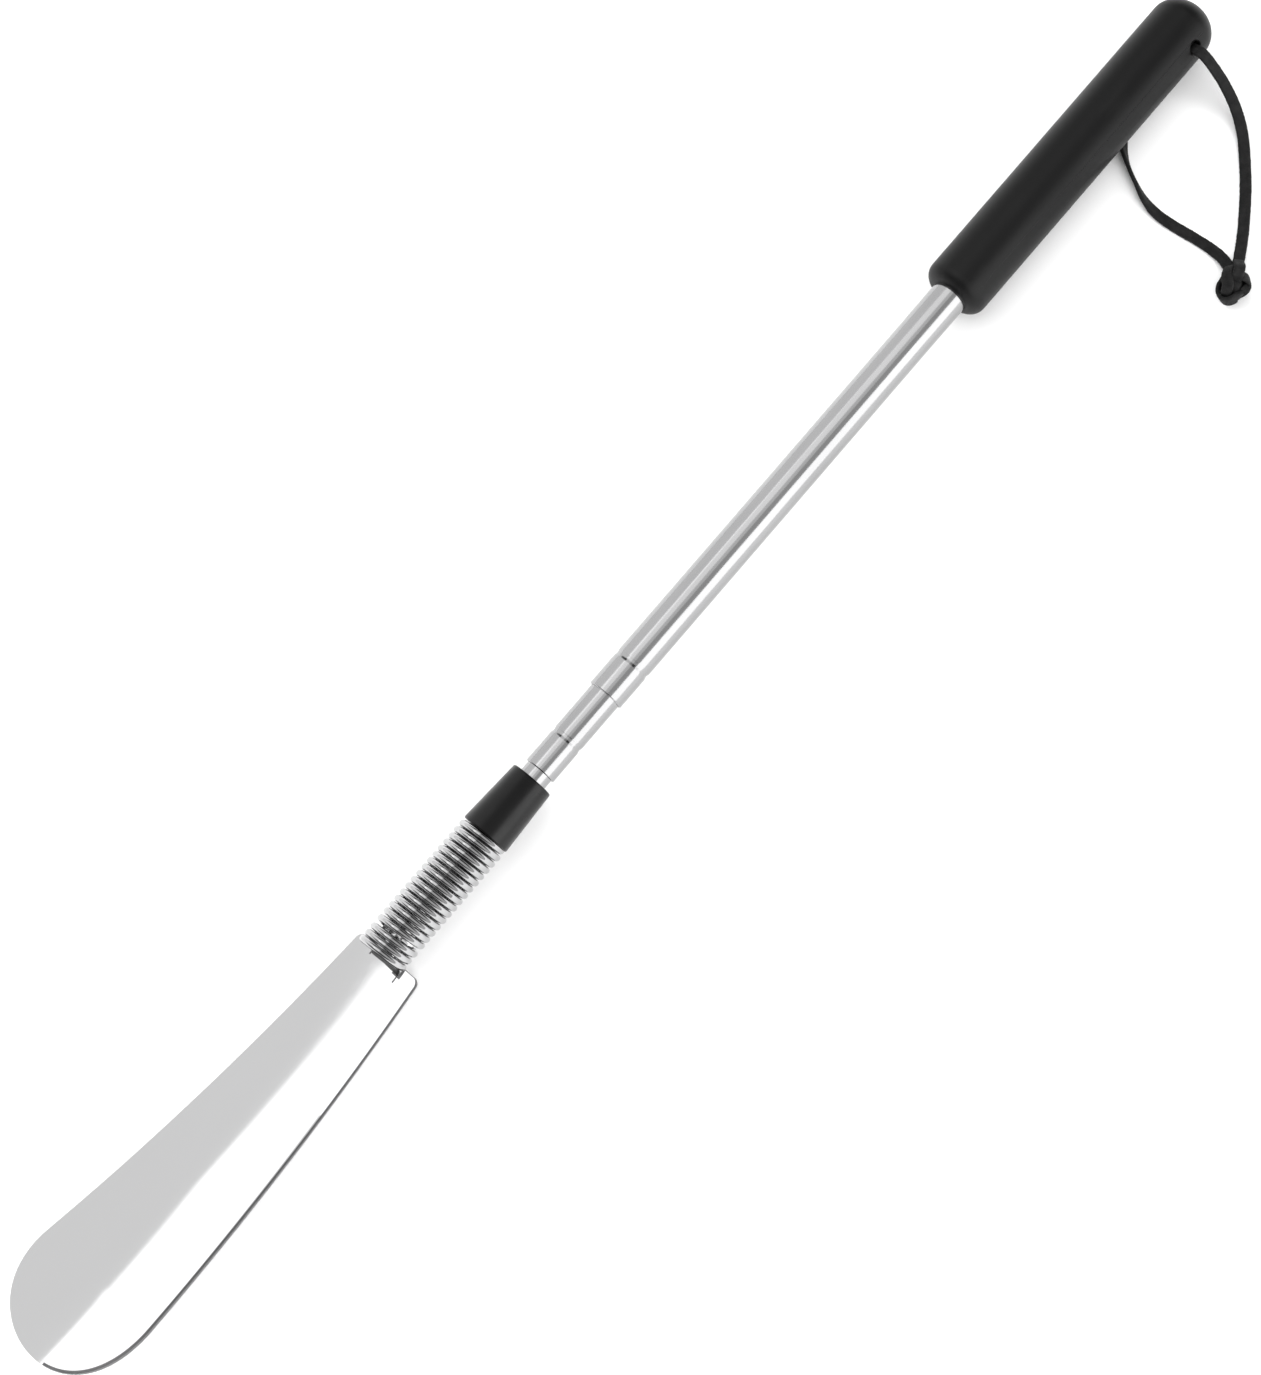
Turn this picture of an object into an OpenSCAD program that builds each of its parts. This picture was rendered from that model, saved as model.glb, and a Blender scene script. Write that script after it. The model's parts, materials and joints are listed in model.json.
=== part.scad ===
// Long telescopic shoehorn, lying on a table. +X runs along the tubes towards the grip,
// +Z is up and the trough of the blade faces up. The origin is at the middle of the
// object's length, on the table.

/* [Grip] */
// Outer diameter of the grip
grip_d = 16.6; // [16.2:0.1:19]
// Length of the grip
grip_len = 97.3; // [90:0.1:110]
// Radius of the rounded edge where the tube enters the grip
grip_edge_r = 3.4; // [2:0.1:3.5]
// Height of the domed end
dome_h = 6.5; // [5:0.1:7.5]
// Diameter of the cross hole for the lace
lace_hole_d = 3.5; // [3.3:0.1:3.6]
// Distance of the cross hole from the domed end
lace_hole_from_end = 10.4; // [10.2:0.1:10.6]
// Tilt of the cross hole away from the vertical
lace_hole_tilt = 63; // [62:1:64]

/* [Tubes] */
// Outer diameter of the outer tube
outer_tube_d = 9.4; // [9:0.1:10]
// Wall thickness of every tube
tube_wall = 0.3; // [0.25:0.05:0.35]
// Radial space between one tube and the next
tube_gap = 0.25; // [0.22:0.01:0.3]
// Length of the outer tube outside the grip
outer_reach = 129.3; // [120:0.1:140]
// Length of the mid tube that shows when collapsed
mid_reach = 23.7; // [20:0.1:30]
// Length of the inner tube that shows when collapsed
inner_reach = 2.6; // [1:0.1:5]
// Distance of each rolled groove from the end of its tube
groove_from_end = 9.8; // [8:0.1:12]
// Half the width of a rolled groove
groove_half_w = 1.1; // [0.8:0.1:1.5]
// How far the mid tube slides out
mid_travel = 183; // [150:1:183]
// How far the inner tube slides out
inner_travel = 191; // [150:1:191]

/* [Ferrule] */
// Length of the tapered ferrule
ferrule_len = 17.1; // [15:0.1:20]
// Diameter of the ferrule at the spring
ferrule_big_d = 12.8; // [12:0.1:13]
// Diameter of the ferrule at the tube
ferrule_small_d = 11.15; // [10.5:0.05:12]
// Length of the ferrule's spigot inside the spring
spigot_len = 9; // [8:0.1:10]

/* [Spring] */
// Length of the coil spring
spring_len = 37.1; // [36.5:0.1:38]
// Outer diameter of the coil spring
spring_d = 13.05; // [12.8:0.05:13.3]
// Diameter of the spring's wire
wire_d = 1.75; // [1.6:0.05:1.8]
// Number of turns
spring_turns = 18; // [17:1:18]
// Extra room between two turns for the blade's hook
hook_room = 0.75; // [0.6:0.05:0.9]

/* [Blade] */
// Length of the blade from its tip to its shoulder
blade_len = 119.1; // [110:0.1:130]
// Half width of the blade at its shoulder
shoulder_w = 9.5; // [8.5:0.1:10.5]
// How much each edge spreads per millimetre towards the tip
edge_spread = 0.0786; // [0.07:0.0002:0.09]
// Length of the rounded tip
tip_len = 21.9; // [18:0.1:28]
// Thickness of the sheet
sheet_t = 1; // [0.8:0.1:1.1]
// Bend radius of the trough at the tip
tip_bend_r = 34; // [30:1:45]
// Bend radius of the trough at the shoulder
shoulder_bend_r = 150; // [100:1:200]
// How far the blade curves up towards the tip over its whole length
blade_sweep = 24.5; // [15:0.1:30]
// Where the curve is lowest, as a share of the length from the tip
low_share = 0.685; // [0.65:0.001:0.75]

/* [Lace] */
// Width of the leather lace
lace_w = 2.8; // [2.6:0.1:2.8]
// Thickness of the leather lace
lace_t = 1; // [0.8:0.1:1]

/* [Hidden] */

// stations along the object's axis, from the domed end to the tip
spring_overlap = 1.2;
total_len = grip_len + outer_reach + mid_reach + inner_reach + ferrule_len + spring_len
          - spring_overlap + blade_len;
x_end = total_len / 2;
x_grip = x_end - grip_len;
x_outer = x_grip - outer_reach;
x_mid = x_outer - mid_reach;
x_ferrule = x_mid - inner_reach;
x_spring_back = x_ferrule - ferrule_len;
x_spring_front = x_spring_back - spring_len;
x_shoulder = x_spring_front + spring_overlap;
x_tip = -x_end;
x_lace_hole = x_end - lace_hole_from_end;

// the axis stands the lace's thickness and a little more above the grip's own radius
axis_z = grip_d / 2 + lace_t + 0.2;

// tube radii
outer_r = outer_tube_d / 2;
tube_step = tube_wall + tube_gap;
mid_r = outer_r - tube_step;
inner_r = mid_r - tube_step;
groove_depth = tube_gap - 0.05;

// parts inside the tubes
plug_len = 6;
plug_flange = 2;
bush_stem = 6;
clip_zone = 6.4;
clip_len = 5.8;
bush_flange = 2;
run_gap = 0.05;
x_outer_back = x_grip + 81.1;
x_plug = x_outer_back - plug_len;
x_mid_back = x_plug - 1.9 - bush_flange - clip_zone;
x_inner_back = x_mid_back - bush_stem - 1 - bush_flange - clip_zone;
ferrule_socket = 14;

// spring
coil_r = (spring_d - wire_d) / 2;
coil_start_angle = 105;
end_gap = 0.1;
coil_run = spring_len - wire_d - end_gap;
coil_pitch = (coil_run - hook_room) / spring_turns;
hook_angle = 132;
hook_turn = 2.5 + (hook_angle - coil_start_angle) / 360;
hook_spread = 1.4;
coil_steps = 16;
wire_sides = 6;
neck_r = coil_r - wire_d / 2 - 0.31;

// blade
nose_half_w = 1.5;
corner_r = 1.6;
tongue_half_w = 4.2;
tongue_back = 13.4;
notch_len = 2.6;
notch_half_w = 4.55;

function smooth(u) = let(c = max(0, min(1, u))) c * c * (3 - 2 * c);

// a solid of revolution round the object's axis, drawn with local Z along +X
module on_axis() translate([0, 0, axis_z]) rotate([0, 90, 0]) children();

module disc(x0, x1, r) on_axis() translate([0, 0, x0]) cylinder(h = x1 - x0, r = r, $fn = 72);

module ring(x0, x1, r_out, r_in)
    difference() {
        disc(x0, x1, r_out);
        disc(x0 - 1, x1 + 1, r_in);
    }

// grip: rounded front edge, straight barrel, elliptical dome
module grip() {
    r = grip_d / 2;
    dome_steps = 14;
    edge_steps = 8;
    color("#1d1d1e")
    difference() {
        on_axis()
            rotate_extrude($fn = 96)
                polygon(concat(
                    [[0, x_grip], [r - grip_edge_r, x_grip]],
                    [for (i = [1 : edge_steps]) let(a = 90 * i / edge_steps)
                        [r - grip_edge_r * (1 - sin(a)), x_grip + grip_edge_r * (1 - cos(a))]],
                    [for (i = [0 : dome_steps - 1]) let(a = 90 * i / dome_steps)
                        [r * cos(a), x_end - dome_h * (1 - sin(a))]],
                    [[0, x_end]]));
        disc(x_grip - 1, x_outer_back + plug_flange + 0.5, outer_r);
        translate([x_lace_hole, 0, axis_z])
            rotate([lace_hole_tilt, 0, 0])
                cylinder(h = 3 * r, r = lace_hole_d / 2, center = true, $fn = 48);
    }
}

// points of a groove rolled into a wall at radius r, from the end of the tube inwards
function groove(r, x) = [for (i = [-6 : 6])
    [r - groove_depth * (1 + cos(30 * i)) / 2, x + groove_half_w * i / 6]];

function reversed(list) = [for (i = [len(list) - 1 : -1 : 0]) list[i]];

// a tube with a groove and a lip that is rolled in at its front end
module grooved_tube(r, x0, x1) {
    lip = 0.35;
    r_in = r - tube_wall;
    on_axis()
        rotate_extrude($fn = 96)
            polygon(concat(
                [[r - groove_depth, x0], [r - groove_depth / 3, x0 + lip / 3], [r, x0 + lip]],
                groove(r, x0 + groove_from_end),
                [[r, x1], [r_in, x1]],
                reversed(groove(r_in, x0 + groove_from_end)),
                [[r_in, x0 + 2 * lip], [r_in - groove_depth, x0 + lip], [r_in - groove_depth, x0]]));
}

module outer_tube() color("#b9babb") grooved_tube(outer_r, x_outer, x_outer_back);

module mid_tube() color("#bfc0c1") grooved_tube(mid_r, x_mid, x_mid_back);

module inner_tube() color("#c4c5c6")
    ring(x_ferrule - ferrule_socket, x_inner_back, inner_r, inner_r - tube_wall);

// closes the outer tube inside the grip
module tube_plug() color("#2a2a2c") {
    disc(x_plug, x_outer_back, outer_r - tube_wall);
    disc(x_outer_back, x_outer_back + plug_flange, outer_r);
}

// guide bush at the back of a sliding tube: stem in the tube, waist for the clip, flange
module bush(x_back, bore_r, guide_r) {
    waist_r = bore_r - 0.15;
    disc(x_back - bush_stem, x_back, bore_r);
    disc(x_back, x_back + clip_zone, waist_r);
    disc(x_back + clip_zone, x_back + clip_zone + bush_flange, guide_r - run_gap);
}

module mid_bush() color("#e6e3da") bush(x_mid_back, mid_r - tube_wall, outer_r - tube_wall);

module inner_bush() color("#e6e3da") bush(x_inner_back, inner_r - tube_wall, mid_r - tube_wall);

// split ring that grips the bore it slides in
module clip(x_back, waist_r, guide_r) {
    x0 = x_back + (clip_zone - clip_len) / 2;
    slit = 1.6;
    difference() {
        ring(x0, x0 + clip_len, guide_r - 0.03, waist_r + run_gap);
        translate([x0 - 1, -slit / 2, axis_z]) cube([clip_len + 2, slit, 2 * guide_r]);
    }
}

module mid_clip() color("#d8b25a")
    clip(x_mid_back, mid_r - tube_wall - 0.15, outer_r - tube_wall);

module inner_clip() color("#d8b25a")
    clip(x_inner_back, inner_r - tube_wall - 0.15, mid_r - tube_wall);

// ferrule: tapered body, spigot inside the spring, socket for the inner tube
module ferrule() {
    r0 = ferrule_big_d / 2;
    r1 = ferrule_small_d / 2;
    edge = 0.4;
    x0 = x_spring_back;
    color("#222223")
    difference() {
        on_axis()
            rotate_extrude($fn = 96)
                polygon([[0, x0 - spigot_len], [neck_r - edge, x0 - spigot_len],
                         [neck_r, x0 - spigot_len + edge], [neck_r, x0], [r0 - edge / 2, x0],
                         [r0, x0 + edge / 2], [r1, x_ferrule - edge], [r1 - edge, x_ferrule],
                         [0, x_ferrule]]);
        disc(x_ferrule - ferrule_socket, x_ferrule + 1, inner_r);
    }
}

// faces of a closed tube of rings, n points a ring, fan caps on a convex ring
function tube_faces(rings, n) = concat(
    [for (i = [0 : rings - 2], j = [0 : n - 1]) let(a = i * n + j, b = i * n + (j + 1) % n)
        each [[a, b, b + n], [a, b + n, a + n]]],
    [[for (j = [n - 1 : -1 : 0]) j], [for (j = [0 : n - 1]) (rings - 1) * n + j]]);

// spring: a right-handed helix that opens by hook_room where the blade's hook comes through
function coil_x(turn) = x_spring_front + wire_d / 2 + coil_pitch * turn
                      + hook_room * smooth((turn - hook_turn) / hook_spread + 0.5);

module spring() {
    count = spring_turns * coil_steps;
    points = [for (i = [0 : count], j = [0 : wire_sides - 1]) let(
        turn = i / coil_steps,
        a = coil_start_angle + 360 * turn,
        b = 360 * j / wire_sides,
        r = coil_r + wire_d / 2 * cos(b))
        [coil_x(turn) + wire_d / 2 * sin(b), r * cos(a), axis_z + r * sin(a)]];
    color("#c9cbce") polyhedron(points, tube_faces(count + 1, wire_sides));
}

// a strip of bent sheet, given by stations [x, z of its middle line, bend, half arc, thickness]
sheet_cells = 16;

function sheet_ring(s) = let(x = s[0], z = s[1], k = s[2], half = s[3], t = s[4] / 2)
    concat(
        [for (j = [0 : sheet_cells]) let(a = k * half * (2 * j / sheet_cells - 1) * 180 / PI)
            [x, (1 / k - t) * sin(a), z + 1 / k - (1 / k - t) * cos(a)]],
        [for (j = [sheet_cells : -1 : 0]) let(a = k * half * (2 * j / sheet_cells - 1) * 180 / PI)
            [x, (1 / k + t) * sin(a), z + 1 / k - (1 / k + t) * cos(a)]]);

function sheet_cap(first) = [for (j = [0 : sheet_cells - 1]) let(m = 2 * sheet_cells + 1)
    [first + j, first + j + 1, first + m - j - 1, first + m - j]];

module sheet(stations) {
    n = 2 * (sheet_cells + 1);
    rings = len(stations);
    sides = [for (i = [0 : rings - 2], j = [0 : n - 1])
        let(a = i * n + j, b = i * n + (j + 1) % n)
        each [[a, b, b + n], [a, b + n, a + n]]];
    front = [for (f = sheet_cap(0)) reversed(f)];
    polyhedron([for (s = stations) each sheet_ring(s)],
               concat(sides, front, sheet_cap((rings - 1) * n)));
}

// half width of the blade in plan at a distance from its tip
function blade_w(d) = (shoulder_w + edge_spread * (blade_len - d))
    * sqrt(1 - pow(max(0, 1 - d / tip_len), 2));

// bend of the trough, from deep at the tip to nearly flat at the shoulder
function blade_bend(d) = (1 - d / blade_len) / tip_bend_r + d / blade_len / shoulder_bend_r;

// height of the middle of the sheet: it rests near the shoulder and curves up towards the tip
function blade_z(d) = sheet_t / 2 + blade_sweep * pow(d / blade_len - low_share, 2);

function blade_station(d, w) = let(k = blade_bend(d))
    [x_tip + d, blade_z(d), k, asin(w / (1 / k + sheet_t / 2)) / k * PI / 180, sheet_t];

module blade_sheet() {
    tip_steps = 12;
    body_steps = 14;
    body_len = blade_len - corner_r - tip_len;
    difference() {
        sheet(concat(
            [blade_station(0, nose_half_w)],
            [for (i = [1 : tip_steps]) let(d = tip_len * (1 - cos(90 * i / tip_steps)))
                blade_station(d, max(nose_half_w + 1, blade_w(d)))],
            [for (i = [1 : body_steps]) let(d = tip_len + body_len * i / body_steps)
                blade_station(d, blade_w(d))],
            [for (i = [1 : 4]) let(a = 90 * i / 4, d = blade_len - corner_r * (1 - sin(a)))
                blade_station(d, blade_w(d) - corner_r * (1 - cos(a)))]));
        translate([x_shoulder - notch_len, -notch_half_w, -1])
            cube([notch_len + 1, 2 * notch_half_w, 2 * axis_z]);
    }
}

// tongue: leaves the notch, steps up into the coil and runs on as a half-round gutter
module blade_tongue() {
    root = blade_len - notch_len - 0.6;
    tongue_t = sheet_t - 0.1;
    bend_r = neck_r - tongue_t / 2;
    rise_len = 2.1;
    rise_steps = 6;
    gutter_half = 5.9;
    sheet(concat(
        [for (i = [0 : rise_steps]) let(u = i / rise_steps, s = smooth(u),
            k = (1 - s) * blade_bend(root) + s / bend_r)
            [x_tip + root + 0.5 + rise_len * u, (1 - s) * blade_z(root) + s * (axis_z - bend_r), k,
             tongue_half_w - 0.6 * s, tongue_t]],
        [for (u = [0.25 : 0.25 : 1]) [x_tip + root + 0.5 + rise_len + 3 * u, axis_z - bend_r,
            1 / bend_r, tongue_half_w - 0.6 + (gutter_half - tongue_half_w + 0.6) * u, tongue_t]],
        [[x_shoulder + tongue_back, axis_z - bend_r, 1 / bend_r, gutter_half, tongue_t]]));
}

// hook: a finger that curls up from the gutter's edge and turns out between two turns
module blade_hook() {
    finger_w = 2;
    finger_t = 0.9;
    hook_t = 0.5;
    hook_w = 1.7;
    x = (coil_x(hook_turn - 0.5) + coil_x(hook_turn + 0.5)) / 2;
    function polar(r, a) = [-r * sin(a), r * cos(a)];
    half_a = hook_w / 2 / neck_r * 180 / PI;
    angles = [for (i = [0 : 8]) hook_angle - half_a + (195 - hook_angle + half_a) * i / 8];
    on_axis()
        translate([0, 0, x - finger_w / 2])
            linear_extrude(finger_w)
                polygon(concat([for (a = angles) polar(neck_r, a)],
                               [for (a = reversed(angles)) polar(neck_r - finger_t, a)]));
    on_axis()
        translate([0, 0, x - hook_t / 2])
            linear_extrude(hook_t)
                rotate(hook_angle)
                    translate([-hook_w / 2, neck_r - finger_t / 2])
                        square([hook_w, 1.9]);
}

module blade() color("#d4d5d6") {
    blade_sheet();
    blade_tongue();
    blade_hook();
}

// lace: [point on its middle line, direction of its width], from the knot through the hole
// and back under the grip to the knot
lace_route = [
    [[161.5, -50.4, 3.2], [-0.5, 0.9, 0]],
    [[166.5, -47.9, 2.2], [-0.5, 0.9, 0]],
    [[171.5, -45.3, 1.0], [-0.5, 0.9, 0]],
    [[177.0, -42.0, 0.6], [-0.6, 0.8, 0]],
    [[184.5, -36.9, 0.6], [-0.6, 0.8, 0]],
    [[190.5, -32.2, 0.7], [-0.7, 0.7, 0]],
    [[195.6, -27.6, 1.6], [-0.8, 0.6, 0]],
    [[199.2, -22.6, 3.9], [-0.9, 0.4, 0]],
    [[201.3, -17.2, 7.2], [-1, 0.2, 0]],
    [[202.0, -12.6, 10.5], [-1, 0, 0]],
    [[202.1, -9.6, 12.5], [-1, 0, 0]],
    [[202.1, -6.8, 12.35], [-1, 0, 0]],
    [[202.1, -2.9, 10.55], [-1, 0, 0]],
    [[202.1, 2.8, 7.9], [-1, 0, 0]],
    [[202.1, 6.6, 5.95], [-1, 0, 0]],
    [[202.0, 8.5, 4.8], [-1, 0, 0.1]],
    [[201.2, 9.3, 3.2], [-0.9, 0.2, 0.4]],
    [[199.0, 9.2, 1.7], [-0.6, 0.7, 0.3]],
    [[195.8, 8.2, 0.8], [-0.5, 0.8, 0.1]],
    [[191.5, 5.8, 0.6], [-0.6, 0.8, 0]],
    [[186.5, 2.0, 0.6], [-0.6, 0.8, 0]],
    [[181.5, -1.8, 0.6], [-0.6, 0.8, 0]],
    [[178.0, -4.4, 0.9], [-0.5, 0.8, 0.3]],
    [[175.0, -7.2, 1.4], [-0.4, 0.4, 0.9]],
    [[172.3, -10.6, 1.5], [-0.2, 0.2, 1]],
    [[169.6, -15.0, 1.5], [-0.3, 0.2, 1]],
    [[167.3, -19.6, 1.3], [-0.7, 0.1, 0.7]],
    [[166.2, -24.2, 0.8], [-1, 0, 0.2]],
    [[166.1, -29.5, 0.6], [-1, 0, 0]],
    [[166.4, -35.5, 0.6], [-1, 0, 0]],
    [[166.3, -41.0, 0.8], [-1, 0, 0]],
    [[165.2, -45.2, 1.5], [-0.9, 0.3, 0]],
    [[163.0, -48.4, 2.6], [-0.7, 0.6, 0]],
    [[160.8, -50.6, 3.4], [-0.7, 0.7, 0]]];

function unit(v) = v / norm(v);

function lace_at(i, j) = lace_route[max(0, min(len(lace_route) - 1, i))][j];

// Catmull-Rom value between route entries i and i + 1
function lace_between(i, u, j) = let(
    a = lace_at(i - 1, j),
    b = lace_at(i, j),
    c = lace_at(i + 1, j),
    d = lace_at(i + 2, j))
    ((2 * b) + (c - a) * u + (2 * a - 5 * b + 4 * c - d) * u * u
     + (3 * b - a - 3 * c + d) * u * u * u) / 2;

function lace_point(s, j) = let(i = min(floor(s), len(lace_route) - 2)) lace_between(i, s - i, j);

module lace() {
    sides = 8;
    per_span = 2;
    last = per_span * (len(lace_route) - 1);
    function ahead(s) = unit(lace_point(min(s + 0.05, len(lace_route) - 1), 0)
                           - lace_point(max(s - 0.05, 0), 0));
    points = [for (i = [0 : last]) let(
        s = i / per_span,
        t = ahead(s),
        w = lace_point(s, 1),
        across = unit(w - t * (w * t)),
        up = cross(across, t))
        for (k = [0 : sides - 1]) let(
            a = 360 * (k + 0.5) / sides,
            c = cos(a) / cos(22.5),
            d = sin(a) / cos(22.5),
            y = lace_w / 2 * sign(c) * pow(abs(c), 0.6),
            z = lace_t / 2 * d)
            lace_point(s, 0) + across * y + up * z];
    color("#19191a") polyhedron(points, tube_faces(last + 1, sides));
}

// knot: a rounded barrel that lies on the table in line with the lace
module lace_knot() {
    half_len = 4.8;
    r = 4;
    steps = 16;
    color("#161617")
    translate([159.6, -51.2, r])
        rotate([0, 90, 27])
            rotate_extrude($fn = 48)
                polygon([for (i = [0 : steps]) let(a = 180 * i / steps - 90)
                    [r * cos(a), half_len * sin(a)]]);
}

grip();
outer_tube();
tube_plug();
lace();
lace_knot();
mid_clip();
mid_tube();
mid_bush();
inner_clip();
inner_tube();
inner_bush();
ferrule();
spring();
blade();
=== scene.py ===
"""A long telescopic shoehorn: its studio, its camera and the detailed pieces that stand for its CAD nodes.

All lengths are in metres, in the frame of the CAD model: +X runs along the tubes towards the grip's
domed end, +Z is up, and the object lies on a table at z = 0.
"""

import json
import math

import bmesh
import bpy
import numpy as np
from mathutils import Matrix, Vector

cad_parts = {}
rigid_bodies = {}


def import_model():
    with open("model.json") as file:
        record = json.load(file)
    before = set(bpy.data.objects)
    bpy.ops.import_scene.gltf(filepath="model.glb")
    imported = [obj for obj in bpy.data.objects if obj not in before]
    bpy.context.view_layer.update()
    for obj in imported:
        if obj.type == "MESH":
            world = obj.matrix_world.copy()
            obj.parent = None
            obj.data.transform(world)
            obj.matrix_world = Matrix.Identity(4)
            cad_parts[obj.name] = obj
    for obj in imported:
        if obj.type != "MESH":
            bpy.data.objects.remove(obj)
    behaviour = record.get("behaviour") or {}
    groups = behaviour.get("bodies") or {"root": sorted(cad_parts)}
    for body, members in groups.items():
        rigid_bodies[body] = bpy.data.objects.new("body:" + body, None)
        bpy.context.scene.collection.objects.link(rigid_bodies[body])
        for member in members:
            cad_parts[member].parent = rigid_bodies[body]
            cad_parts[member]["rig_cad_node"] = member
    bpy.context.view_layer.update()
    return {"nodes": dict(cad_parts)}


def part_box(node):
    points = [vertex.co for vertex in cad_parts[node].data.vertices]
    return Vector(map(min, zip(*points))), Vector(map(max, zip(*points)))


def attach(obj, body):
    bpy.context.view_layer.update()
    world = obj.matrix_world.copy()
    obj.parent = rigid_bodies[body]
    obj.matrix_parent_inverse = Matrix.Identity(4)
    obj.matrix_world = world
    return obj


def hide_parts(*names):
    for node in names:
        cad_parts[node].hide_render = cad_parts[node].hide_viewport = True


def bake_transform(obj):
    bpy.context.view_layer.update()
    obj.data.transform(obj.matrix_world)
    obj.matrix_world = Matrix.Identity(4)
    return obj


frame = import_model()

MM = 0.001
IMAGE_HEIGHT = 1375

# ---------------------------------------------------------------- sizes read from the frame


def span(node):
    """(lowest x, highest x, radius) of a node that is round about the object's axis."""
    low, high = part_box(node)
    return low.x, high.x, (high.y - low.y) / 2


GRIP_FRONT, GRIP_BACK, GRIP_R = span("grip")
OUTER_FRONT, OUTER_BACK, OUTER_R = span("outer_tube")
MID_FRONT, MID_BACK, MID_R = span("mid_tube")
INNER_FRONT, INNER_BACK, INNER_R = span("inner_tube")
FERRULE_FRONT, FERRULE_BACK, FERRULE_R = span("ferrule")
SPRING_FRONT, SPRING_BACK, _ = span("spring")
BLADE_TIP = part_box("blade")[0].x
AXIS_Z = (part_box("grip")[0].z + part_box("grip")[1].z) / 2


# ---------------------------------------------------------------- camera

AIM_X = -8.8 * MM
AIM_Y = -3.5 * MM
DISTANCE = 0.5359
LEAN_TO_BLADE = math.radians(7.03)
LEAN_TO_SIDE = math.radians(17.5)
AXIS_SLOPE = math.radians(49.24)
FOCAL_PX = 2265
SENSOR = 36
CLIP_START = 0.01
CLIP_END = 20


def make_camera():
    """A camera above the object, leaning towards its blade and its -Y side, and rolled so that
    the object's axis rises across the picture."""
    towards = Vector((-math.sin(LEAN_TO_BLADE),
                      -math.sin(LEAN_TO_SIDE) * math.cos(LEAN_TO_BLADE),
                      math.cos(LEAN_TO_SIDE) * math.cos(LEAN_TO_BLADE)))
    along = Vector((1, 0, 0))
    along = (along - towards * along.dot(towards)).normalized()
    beside = towards.cross(along)
    right = along * math.cos(AXIS_SLOPE) - beside * math.sin(AXIS_SLOPE)
    up = along * math.sin(AXIS_SLOPE) + beside * math.cos(AXIS_SLOPE)
    place = Vector((AIM_X, AIM_Y, AXIS_Z)) + towards * DISTANCE
    data = bpy.data.cameras.new("camera")
    data.sensor_fit = "VERTICAL"
    data.sensor_height = SENSOR
    data.lens = FOCAL_PX / IMAGE_HEIGHT * SENSOR
    data.clip_start = CLIP_START
    data.clip_end = CLIP_END
    camera = bpy.data.objects.new("camera", data)
    bpy.context.scene.collection.objects.link(camera)
    camera.matrix_world = Matrix.Translation(place) @ Matrix((right, up, towards)).transposed().to_4x4()
    bpy.context.scene.camera = camera


make_camera()


# ---------------------------------------------------------------- mesh tools

WELD = 2e-6
LEAST_R = 1e-7


def new_object(name, vertices, faces):
    """A smooth-shaded mesh object in the scene."""
    mesh = bpy.data.meshes.new(name)
    mesh.from_pydata([tuple(v) for v in vertices], [], faces)
    mesh.validate()
    mesh.polygons.foreach_set("use_smooth", [True] * len(mesh.polygons))
    mesh.update()
    obj = bpy.data.objects.new(name, mesh)
    bpy.context.scene.collection.objects.link(obj)
    return obj


def arc(centre, radius, start, end, steps):
    """Points of an arc in an (x, r) profile. Angles are in degrees, from +x towards +r."""
    angles = np.radians(np.linspace(start, end, steps + 1))
    return [(centre[0] + radius * math.cos(a), centre[1] + radius * math.sin(a)) for a in angles]


def lathe(name, profile, segments=128, sharp=40):
    """A closed solid of revolution about the object's axis from an (x, r) profile."""
    rings = len(profile)
    vertices = []
    for x, r in profile:
        for k in range(segments):
            a = 2 * math.pi * k / segments
            vertices.append((x, max(r, LEAST_R) * math.cos(a), AXIS_Z + max(r, LEAST_R) * math.sin(a)))
    faces = []
    for i in range(rings - 1):
        for k in range(segments):
            n = (k + 1) % segments
            faces.append((i * segments + k, i * segments + n, (i + 1) * segments + n,
                          (i + 1) * segments + k))
    obj = new_object(name, vertices, faces)
    tidy(obj, sharp)
    return obj


def shade(mesh, sharp):
    """Smooth shading, with edges sharper than an angle in degrees kept sharp."""
    mesh.polygons.foreach_set("use_smooth", [True] * len(mesh.polygons))
    mesh.set_sharp_from_angle(angle=math.radians(sharp))


def tidy(obj, sharp):
    """Welds doubles, turns the faces outwards and marks the sharp edges."""
    work = bmesh.new()
    work.from_mesh(obj.data)
    bmesh.ops.remove_doubles(work, verts=work.verts, dist=WELD)
    bmesh.ops.recalc_face_normals(work, faces=work.faces)
    work.to_mesh(obj.data)
    work.free()
    shade(obj.data, sharp)
    obj.data.update()


def apply_modifiers(obj):
    """Makes the object's modifiers part of its mesh."""
    made = bpy.data.meshes.new_from_object(obj.evaluated_get(bpy.context.evaluated_depsgraph_get()))
    obj.modifiers.clear()
    obj.data = made


def sweep(name, rings, closed_ends=True, sharp=50):
    """A tube of rings, each a list of the same number of points."""
    n = len(rings[0])
    vertices = [p for ring in rings for p in ring]
    faces = []
    for i in range(len(rings) - 1):
        for k in range(n):
            m = (k + 1) % n
            faces.append((i * n + k, i * n + m, (i + 1) * n + m, (i + 1) * n + k))
    if closed_ends:
        faces.append(tuple(reversed(range(n))))
        faces.append(tuple((len(rings) - 1) * n + k for k in range(n)))
    obj = new_object(name, vertices, faces)
    tidy(obj, sharp)
    return obj


def smooth(u):
    """Passes from 0 to 1 while u does, with no slope at either end."""
    c = min(max(u, 0), 1)
    return c * c * (3 - 2 * c)


def wobble(i, salt=0.0):
    """A repeatable value between -1 and 1 for a whole or real number."""
    value = math.sin(i * 12.9898 + salt * 78.233) * 43758.5453
    return 2 * (value - math.floor(value)) - 1


def smooth_noise(x, salt=0.0):
    """Smooth repeatable noise along a line, between -1 and 1."""
    i = math.floor(x)
    u = x - i
    u = u * u * (3 - 2 * u)
    return wobble(i, salt) * (1 - u) + wobble(i + 1, salt) * u


# ---------------------------------------------------------------- lace

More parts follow.
